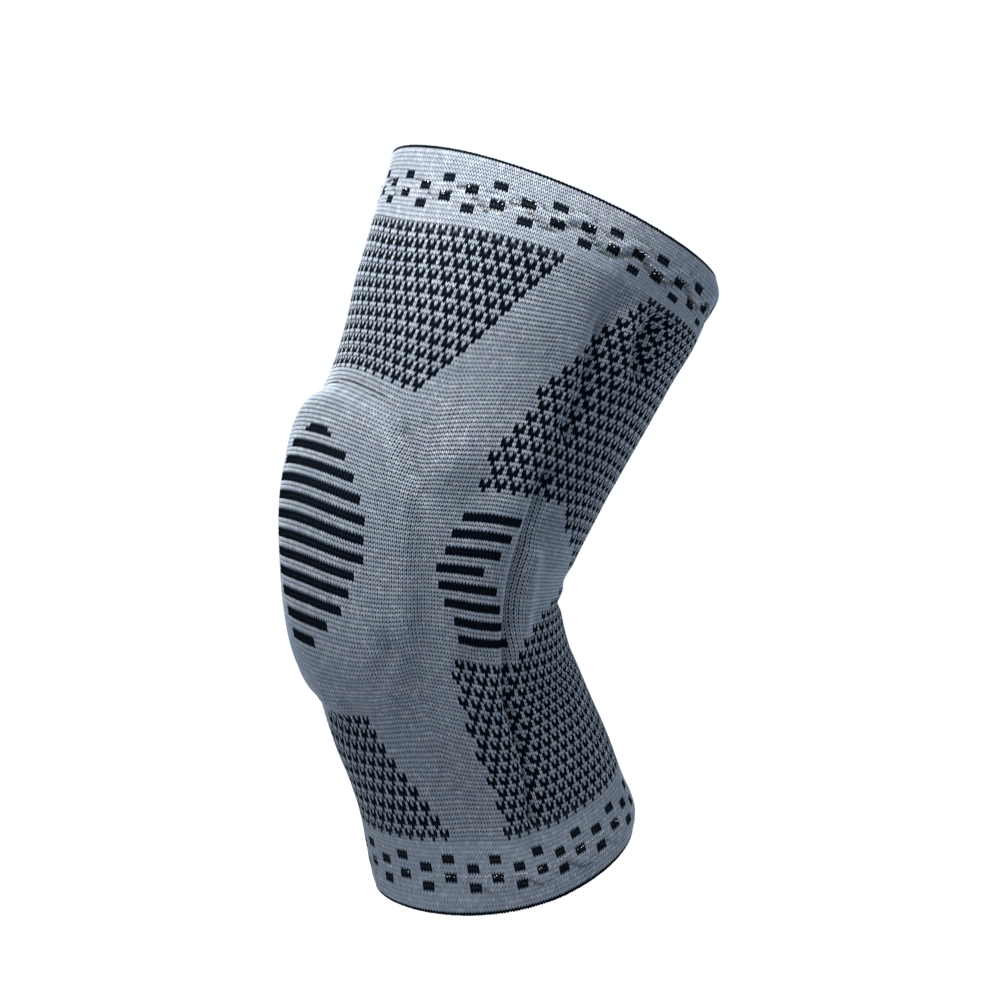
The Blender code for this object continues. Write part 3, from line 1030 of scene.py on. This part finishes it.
def lay(name, item, wale, course, yarn, turn=0.05, size=0.07, seed=11, on=guide, black=1.0):
    """Copies of an item at places on the chart, each in its own yarn, as a plain mesh."""
    places = np.stack(np.broadcast_arrays(wale, -np.asarray(course, float), 0.0), axis=-1)
    mesh = bpy.data.meshes.new(name)
    mesh.from_pydata(places.reshape(-1, 3), [], [])
    kinds = mesh.attributes.new("yarn", "INT", "POINT")
    kinds.data.foreach_set("value", np.broadcast_to(yarn, places.shape[:-1]).ravel())
    piece = link_piece(name, mesh)
    modifier = piece.modifiers.new("lay_on_sleeve", "NODES")
    modifier.node_group = lay_on_sleeve
    set_inputs(modifier, {"Item": item, "Guide": on, "Seed": seed})
    set_inputs(modifier, {"Uneven Turn": turn, "Uneven Size": size, "Black Size": black})
    set_inputs(modifier, {finish.name: finish for finish in laid_finishes})
    return finished(piece)


# %% [markdown]
# ## Choose a yarn for each stitch
#
# Each grey stitch draws one of the four tints. A real cone of yarn changes slowly, so a
# whole course is a little paler or bluer than the next, and some patches lean to violet.
# The draws come from one generator with a fixed seed.

# %% Draw the tints
COURSE_UNEVEN = 0.22
STITCH_UNEVEN = 0.55
PATCH_SHARE = 0.35
draw = np.random.default_rng(20)
course_bias = draw.normal(0.0, COURSE_UNEVEN, COURSES)
patch_wale = np.arange(WALES)[:, None] / WALES * math.tau
patch_course = np.arange(COURSES)[None, :] / COURSES * math.tau
patch = np.sin(3 * patch_wale + 2.2 * patch_course) * np.sin(4.0 * patch_course - patch_wale)
mood = draw.normal(0.0, STITCH_UNEVEN, (WALES, COURSES)) + course_bias + PATCH_SHARE * patch
TINT_STEPS = (-0.75, 0.45, 0.95)
TINT_ORDER = np.array((3, 1, 2, 4))
yarn_numbers = TINT_ORDER[np.digitize(mood, TINT_STEPS)]
yarn_numbers = np.where(BLACK, 0, yarn_numbers)
print("stitches of each yarn:", np.bincount(yarn_numbers.ravel()).tolist())

# %% [markdown]
# ## Knit the five parts
#
# The stitches are made as five pieces, so that no mesh is too heavy: the two cuffs, the
# thigh, the knee and the calf. They meet course to course and look like one fabric.

# %% Lay the stitches
KNIT_PARTS = (
    ("thigh_cuff_stitches", 1, 17),
    ("thigh_stitches", 17, 62),
    ("knee_stitches", 62, 107),
    ("calf_stitches", 107, 152),
    ("calf_cuff_stitches", 152, 167),
)
BLACK_SIZE = 0.95
knit = {}
for name, first, last in KNIT_PARTS:
    wale, course = np.meshgrid(np.arange(WALES), np.arange(first, last), indexing="ij")
    in_cuff = "cuff" in name
    knit[name] = lay(name, cuff_stitch if in_cuff else stitch, wale, course + 0.5,
                     yarn_numbers[:, first:last], black=1.0 if in_cuff else BLACK_SIZE)

# %% [markdown]
# ## The ground cloth
#
# Under the loops lies a closed wall of cloth. Solidify gives it its thickness and a second
# finish for the inner side. It takes the place of the plain solids of the knit and cuffs.

# %% Make the ground
PIT_DEPTH = 0.5
KNIT_WALL = 1.8
CUFF_WALL = 2.0
GROUND_WALES = 256
RIM_INSET = 0.5

# The courses where one ground cloth ends and the next begins.
THIGH_SEAM = (19.0, 19.05)
CALF_SEAM = (150.2, 150.25)


def ground_cloth(name, first_course, last_course, wall, outer_finish):
    """A closed wall of cloth between two courses, whose outer side lies in the pits."""
    whole = np.arange(math.ceil(first_course), math.floor(last_course) + 1)
    rows = np.unique(np.concatenate([[first_course], whole, [last_course]]))[::-1]
    wale, course = np.meshgrid(np.linspace(0.0, WALES, GROUND_WALES + 1), rows)
    along, turn = chart_to_leg(wale, course)
    points = below_face(along, turn, PIT_DEPTH * standing_out(turn), ridged=True)
    mesh = grid_mesh(name, points, chart_share(wale, course), closed_round=True)
    mesh.materials.append(outer_finish)
    mesh.materials.append(back_with_painted_shade)
    piece = link_piece(name, mesh)
    solidify = piece.modifiers.new("wall", "SOLIDIFY")
    solidify.thickness = (wall - PIT_DEPTH) * MM
    solidify.offset = -1.0
    solidify.use_even_offset = True
    solidify.use_quality_normals = True
    solidify.material_offset = 1
    return finished(piece)


thigh_cuff = ground_cloth("thigh_cuff_ground", RIM_INSET, THIGH_SEAM[0], CUFF_WALL,
                          cuff_pit_ground_and_shade)
knit_sleeve = ground_cloth("knit_ground", THIGH_SEAM[1], CALF_SEAM[0], KNIT_WALL, pit_ground_and_shade)
calf_cuff = ground_cloth("calf_cuff_ground", CALF_SEAM[1], COURSES - RIM_INSET, CUFF_WALL,
                         cuff_pit_ground_and_shade)

# %% [markdown]
# ## The welted rims
#
# Both openings end in a thin welt of near-black yarn, turned over the edge, with one small
# loop for each wale. The loops overlap, so their lower edge is scalloped. Each one is a
# small rounded bead here, laid on the chart like the stitches.

# %% Make the welts
JOIN_WITHIN = 0.00001
NO_LENGTH = 0.000001


def bead_mesh(name, sides, rings, wide, high, deep, middle):
    """A rounded bead: wide in wales, high in courses and deep in millimetres."""
    around, up = np.meshgrid(
        np.linspace(0.0, math.tau, sides + 1), np.linspace(0.0, math.pi, rings + 1)
    )
    x = wide * np.sin(up) * np.cos(around)
    y = high * np.cos(up)
    z = middle + deep * np.sin(up) * np.sin(around)
    mesh = grid_mesh(name, np.stack([x, y, z], axis=-1), np.stack([around, up], axis=-1), True)
    close_poles(mesh)
    return mesh


def close_poles(mesh):
    """Join the points that lie on each other and turn the faces outwards."""
    work = bmesh.new()
    work.from_mesh(mesh)
    bmesh.ops.remove_doubles(work, verts=work.verts, dist=JOIN_WITHIN)
    bmesh.ops.dissolve_degenerate(work, edges=work.edges, dist=NO_LENGTH)
    bmesh.ops.recalc_face_normals(work, faces=work.faces)
    work.to_mesh(mesh)
    work.free()


EVERY_WALE = np.arange(WALES) + 0.0
thigh_bead = link_piece("thigh_bead", bead_mesh(
    "thigh_bead", sides=8, rings=5, wide=0.72, high=0.42, deep=1.15, middle=-0.95
))
calf_bead = link_piece("calf_bead", bead_mesh(
    "calf_bead", sides=8, rings=5, wide=0.72, high=0.55, deep=1.2, middle=-0.95
))
thigh_welt = lay("thigh_welt", thigh_bead, EVERY_WALE, 0.45, 0, turn=0.12, size=0.1, seed=5,
                 on=rim_guide)
calf_welt = lay("calf_welt", calf_bead, EVERY_WALE, COURSES - 0.55, 0, turn=0.12, size=0.1, seed=6,
                on=rim_guide)

# %% [markdown]
# ## Silicone pressed through the knit
#
# The silicone is printed on the inner side of each cuff while it is wet, so a little of it
# comes through the mesh. Outside it shows as rows of tiny glossy dashes along the ridge,
# most of them on the black rectangles that the line crosses.

# %% Lay the silicone dashes
dash = link_piece("dash", bead_mesh(
    "dash", sides=6, rings=4, wide=0.17, high=0.09, deep=0.14, middle=0.1
))
SILICONE = len(yarns)
DASHED_ROWS = ((3, 8.3), (11, 10.4))
FEWEST_DASHES = 2
MOST_DASHES = 4
DASHES_ACROSS = (-2.2, 1.8)
DASHES_UP = (-0.35, 0.3)
DASHES_BETWEEN = 8
WAVE_COURSE = 9.3
WAVE_UNEVEN = 0.22
CALF_DASH_STEP = 0.8
CALF_DASH_SHARE = 0.5
CALF_DASH_COURSE = 159.6
CALF_DASH_UNEVEN = 0.14


def thigh_dashes():
    """Wales and courses of the dashes: on two rows of rectangles and along the wave between."""
    wales = []
    courses = []
    for repeat in range(0, WALES, CUFF_REPEAT):
        for middle, course in DASHED_ROWS:
            count = draw.integers(FEWEST_DASHES, MOST_DASHES + 1)
            wales.extend(repeat + middle + draw.uniform(*DASHES_ACROSS, count))
            courses.extend(course + draw.uniform(*DASHES_UP, count))
        between = repeat + draw.uniform(0.0, CUFF_REPEAT, DASHES_BETWEEN)
        wales.extend(between)
        wave = np.cos((between - DASHED_ROWS[0][0]) / CUFF_REPEAT * math.tau)
        courses.extend(WAVE_COURSE - wave + draw.normal(0.0, WAVE_UNEVEN, DASHES_BETWEEN))
    return np.array(wales), np.array(courses)


def calf_dashes():
    """A dotted line that runs all round, through one row of rectangles."""
    wales = np.arange(0.0, WALES, CALF_DASH_STEP)
    wales = wales[draw.random(len(wales)) < CALF_DASH_SHARE] + 0.1
    return wales, CALF_DASH_COURSE + draw.normal(0.0, CALF_DASH_UNEVEN, len(wales))


thigh_glints = lay("thigh_silicone_dashes", dash, *thigh_dashes(), SILICONE, turn=0.5, size=0.35,
                   seed=8, on=rim_guide)
calf_glints = lay("calf_silicone_dashes", dash, *calf_dashes(), SILICONE, turn=0.35, size=0.3,
                  seed=9, on=rim_guide)

# %% [markdown]
# ## Gel ring, springs and silicone lines
#
# The parts inside the sleeve are seen through its openings. They repeat the forms of their
# solids with finer steps: the ring bulges between two skins, each spring is a wire coiled
# round a flat oval, and each silicone line is a wavy round bead.

# %% Make the gel ring
CLEARANCE = 0.3
PAD_RING_OUTER = 0.84
PAD_RING_INNER = 0.50
PAD_SKIN = 1.6
RING_STEPS = 96
SECTION_STEPS = 20


def gel_ring():
    middle = (PAD_RING_OUTER + PAD_RING_INNER) / 2
    half = (PAD_RING_OUTER - PAD_RING_INNER) / 2
    radius = form_at("side", np.array(PAD_ALONG))
    ring, section = np.meshgrid(
        np.linspace(0.0, math.tau, RING_STEPS + 1), np.linspace(0.0, math.tau, SECTION_STEPS + 1)
    )
    share = middle + half * np.cos(section)
    outline = np.abs(np.cos(ring)) ** PAD_SQUARENESS + np.abs(np.sin(ring)) ** PAD_SQUARENESS
    outline = outline ** (-1.0 / PAD_SQUARENESS)
    along = PAD_ALONG + PAD_HALF_HEIGHT * share * outline * np.sin(ring)
    turn = PAD_HALF_WIDTH * share * outline * np.cos(ring) / radius
    outer = below_face(along, turn, KNIT_WALL + 2 * CLEARANCE)
    inner = below_face(along, turn, KNIT_WALL + PAD_SKIN, padded=False)
    inward = ((1.0 - np.sin(section)) / 2)[..., None]
    points = outer * (1.0 - inward) + inner * inward
    chart = np.stack([ring, section], axis=-1) / math.tau
    mesh = grid_mesh("gel_ring", points, chart, closed_round=True, closed_up=True)
    close_poles(mesh)
    mesh.materials.append(gel_finish)
    return link_piece("gel_ring", mesh)


ring = gel_ring()
print("gel ring:", mesh_triangles(ring.data), "triangles")

# %% Make a wire
def bent_wire(name, points, radius, roundness, finish, closed=False):
    """A round wire through points in metres, as a plain mesh with its caps joined."""
    data = bpy.data.curves.new(name, "CURVE")
    data.dimensions = "3D"
    data.bevel_depth = radius * MM
    data.bevel_resolution = roundness
    data.use_fill_caps = not closed
    spline = data.splines.new("POLY")
    spline.points.add(len(points) - 1)
    for knot, point in zip(spline.points, points):
        knot.co = (*point, 1.0)
    spline.use_cyclic_u = closed
    data.materials.append(finish)
    curve = link_piece(name, data)
    depsgraph = bpy.context.evaluated_depsgraph_get()
    mesh = bpy.data.meshes.new_from_object(curve.evaluated_get(depsgraph))
    bpy.data.objects.remove(curve)
    close_poles(mesh)
    mesh.shade_smooth()
    print(f"{name}: {mesh_triangles(mesh)} triangles")
    return link_piece(name, mesh)


# %% Make the side springs
STAY_TURN = math.radians(84.0)
STAY_FROM = -92.0
STAY_TO = 108.0
STAY_HALF_WIDTH = 3.0
STAY_THICK = 1.8
WIRE_RADIUS = 0.45
COIL_PITCH = 2.4
POINTS_A_TURN = 12


def side_spring(name, side):
    """A wire coiled round a flat oval, along one side of the leg."""
    turns = (STAY_TO - STAY_FROM) / COIL_PITCH
    angle = np.linspace(0.0, turns * math.tau, int(turns * POINTS_A_TURN))
    along = STAY_FROM + COIL_PITCH * angle / math.tau
    radius = form_at("side", np.array(0.0))
    turn = side * (STAY_TURN + (STAY_HALF_WIDTH - WIRE_RADIUS) * np.cos(angle) / radius)
    middle = KNIT_WALL + 2 * CLEARANCE + STAY_THICK / 2
    depth = middle + (STAY_THICK / 2 - WIRE_RADIUS) * np.sin(angle)
    return bent_wire(name, below_face(along, turn, depth), WIRE_RADIUS, 1, steel_finish)


outer_spring = side_spring("outer_spring", 1)
inner_spring = side_spring("inner_spring", -1)

# %% Make the silicone lines
GRIP_RADIUS = 0.6
GRIP_STEPS = 384


def silicone_line(name, middle):
    """A wavy line inside a cuff, at the ridge that it raises."""
    turn = np.linspace(0.0, math.tau, GRIP_STEPS, endpoint=False)
    along = middle + GRIP_SWING * np.cos(GRIP_WAVES * turn)
    points = below_face(along, turn, CUFF_WALL + 2 * CLEARANCE + GRIP_RADIUS)
    return bent_wire(name, points, GRIP_RADIUS, 2, silicone_finish, closed=True)


thigh_line = silicone_line("thigh_silicone_line", THIGH_RIM - GRIP_BELOW_RIM)
calf_line = silicone_line("calf_silicone_line", CALF_RIM + GRIP_BELOW_RIM)

# %% [markdown]
# ## Stage and light
#
# The sleeve is shown as if a leg held it, at a knee's height over a pale floor. One small
# warm lamp hangs close, just above the picture and a little to the left, and it is hidden
# from the camera. The bright surroundings fill the shadows, as in a shot on white paper.

# %% Floor and lights
FLOOR_HEIGHT = -0.46
FLOOR_HALF = 12.0
floor_finish = new_finish("pale_floor", (0.96, 0.955, 0.95), 0.9)
fibre_bump(floor_finish, scale=30.0, strength=0.05, depth=0.001)
floor_mesh = bpy.data.meshes.new("floor")
corners = [
    (x * FLOOR_HALF, y * FLOOR_HALF, FLOOR_HEIGHT)
    for x, y in ((-1, -1), (1, -1), (1, 1), (-1, 1))
]
floor_mesh.from_pydata(corners, [], [(0, 1, 2, 3)])
floor_mesh.materials.append(floor_finish)
floor = link_piece("floor", floor_mesh)

lamp = bpy.data.lights.new("key_light", "AREA")
lamp.size = 0.2
lamp.energy = 6.4
lamp.color = (1.0, 0.89, 0.77)
key_light = bpy.data.objects.new("key_light", lamp)
offset = to_right * -0.12 + to_top * 0.34 + to_back * 0.17
key_light.location = look_at + offset
key_light.rotation_euler = offset.to_track_quat("Z", "Y").to_euler()
key_light.visible_camera = False
bpy.context.scene.collection.objects.link(key_light)

world = bpy.data.worlds.new("white_studio")
world.use_nodes = True
background = world.node_tree.nodes["Background"]
background.inputs["Color"].default_value = (0.94, 0.985, 1.04, 1.0)
background.inputs["Strength"].default_value = 1.1
bpy.context.scene.world = world
bpy.context.scene.view_settings.view_transform = "Standard"

# %% [markdown]
# ## Put each piece on the body
#
# Each piece rides on the part's one body, and the solid whose place it takes is hidden. The
# ground cloth is the sheet of the sleeve, with the stitches on it. Laid flat, a sheet is as
# wide as the tube is round and as high as the tube is long.

# %% Put the pieces in the frame
for helper in (guide, rim_guide, stitch, cuff_stitch, thigh_bead, calf_bead, dash):
    bpy.data.objects.remove(helper)

PIECES = (
    (knit_sleeve, "jacquard_knit", ("knit_sleeve",)),
    (thigh_cuff, "cuff_knit", ("thigh_cuff",)),
    (calf_cuff, "cuff_knit", ("calf_cuff",)),
    (knit["thigh_stitches"], "jacquard_knit", ()),
    (knit["knee_stitches"], "jacquard_knit", ()),
    (knit["calf_stitches"], "jacquard_knit", ()),
    (knit["thigh_cuff_stitches"], "cuff_knit", ()),
    (knit["calf_cuff_stitches"], "cuff_knit", ()),
    (thigh_welt, "black_yarn", ("thigh_edge",)),
    (calf_welt, "black_yarn", ("calf_edge",)),
    (ring, "soft_gel", ("kneecap_pad",)),
    (outer_spring, "stay_steel", ("outer_stay",)),
    (inner_spring, "stay_steel", ("inner_stay",)),
    (thigh_line, "grip_silicone", ("thigh_grip",)),
    (calf_line, "grip_silicone", ("calf_grip",)),
    (thigh_glints, "grip_silicone", ()),
    (calf_glints, "grip_silicone", ()),
)
for piece, slot, nodes in PIECES:
    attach(piece, "root")
    if nodes:
        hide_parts(*nodes)

print("pieces:", len(PIECES))
